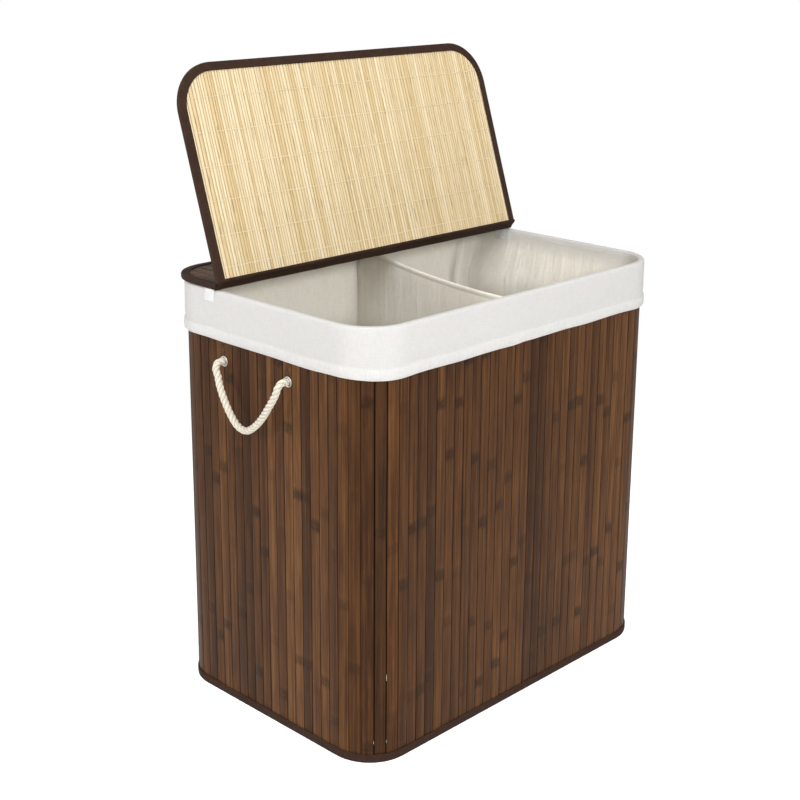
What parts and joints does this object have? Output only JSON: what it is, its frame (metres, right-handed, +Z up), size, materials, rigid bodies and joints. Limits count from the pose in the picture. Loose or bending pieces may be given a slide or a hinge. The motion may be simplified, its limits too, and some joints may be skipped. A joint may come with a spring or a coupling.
{
  "type": "laundry hamper with two bins",
  "caption": "Rectangular bamboo laundry hamper with a divided cloth liner folded over its rim, a lid hinged to a rear flap, and rope handles.",
  "frame": {"origin": "floor level, under the middle of the body, on the base board's underside", "axes": "+Z up; +X along the long side; -Y towards the front, where the lid opens; the lid's hinge lies along X near the back"},
  "size_m": [0.65, 0.4144, 0.8939],
  "materials": {
    "stained_bamboo": "walnut-stained bamboo slats, satin",
    "dark_bamboo": "dark stained strip, satin",
    "natural_bamboo": "unstained fine bamboo sticks, satin",
    "brown_cloth": "dark brown woven tape",
    "liner_cloth": "off-white slubby linen weave",
    "fibre_board": "matt fibre board",
    "cotton_rope": "three-strand twisted cotton rope",
    "bright_steel": "polished nickel plate",
    "dull_steel": "dull zinc plate",
    "clear_plastic": "clear moulded plastic"
  },
  "bodies": {
    "hamper_body": {"slats_front": "stained_bamboo", "corner_slats_front_right": "stained_bamboo", "slats_right": "stained_bamboo", "corner_slats_back_right": "stained_bamboo", "slats_back": "stained_bamboo", "corner_slats_back_left": "stained_bamboo", "slats_left": "stained_bamboo", "corner_slats_front_left": "stained_bamboo", "closing_strip": "dark_bamboo", "wall_backing": "brown_cloth", "bottom_binding": "brown_cloth", "top_binding": "brown_cloth", "base_board": "fibre_board", "base_hinge_tape": "brown_cloth", "liner_wall": "liner_cloth", "liner_floor": "liner_cloth", "divider": "liner_cloth", "left_front_eyelet": "bright_steel", "left_back_eyelet": "bright_steel", "right_front_eyelet": "bright_steel", "right_back_eyelet": "bright_steel", "left_front_eyelet_washer": "bright_steel", "left_back_eyelet_washer": "bright_steel", "right_front_eyelet_washer": "bright_steel", "right_back_eyelet_washer": "bright_steel", "left_front_rope_knot": "cotton_rope", "left_back_rope_knot": "cotton_rope", "right_front_rope_knot": "cotton_rope", "right_back_rope_knot": "cotton_rope", "left_brace_rear_leaning": "dull_steel", "left_brace_fore_leaning": "dull_steel", "right_brace_rear_leaning": "dull_steel", "right_brace_fore_leaning": "dull_steel", "left_brace_rear_lower_pocket": "brown_cloth", "left_brace_rear_upper_pocket": "brown_cloth", "left_brace_fore_lower_pocket": "brown_cloth", "left_brace_fore_upper_pocket": "brown_cloth", "right_brace_rear_lower_pocket": "brown_cloth", "right_brace_rear_upper_pocket": "brown_cloth", "right_brace_fore_lower_pocket": "brown_cloth", "right_brace_fore_upper_pocket": "brown_cloth", "left_brace_rivet": "dull_steel", "right_brace_rivet": "dull_steel", "flap_outer_mat": "stained_bamboo", "flap_board": "fibre_board", "flap_inner_mat": "natural_bamboo", "flap_binding": "brown_cloth", "crease_fold": "brown_cloth", "left_rim_clip": "clear_plastic", "right_rim_clip": "clear_plastic"},
    "lid": {"lid_outer_mat": "stained_bamboo", "lid_board": "fibre_board", "lid_inner_mat": "natural_bamboo", "lid_binding": "brown_cloth"},
    "left_handle": {"left_handle_rope": "cotton_rope"},
    "right_handle": {"right_handle_rope": "cotton_rope"}
  },
  "joints": [
    {"name": "lid_hinge", "type": "hinge", "parent": "hamper_body", "child": "lid", "pos_m": [0, 0.09, 0.6084], "axis": [1, 0, 0], "range_deg": [0, 108]},
    {"name": "left_handle_swing", "type": "hinge", "parent": "hamper_body", "child": "left_handle", "pos_m": [-0.315, 0.016, 0.504], "axis": [0, 1, 0], "range_deg": [0, 170]},
    {"name": "right_handle_swing", "type": "hinge", "parent": "hamper_body", "child": "right_handle", "pos_m": [0.315, 0.016, 0.504], "axis": [0, -1, 0], "range_deg": [0, 170]}
  ]
}
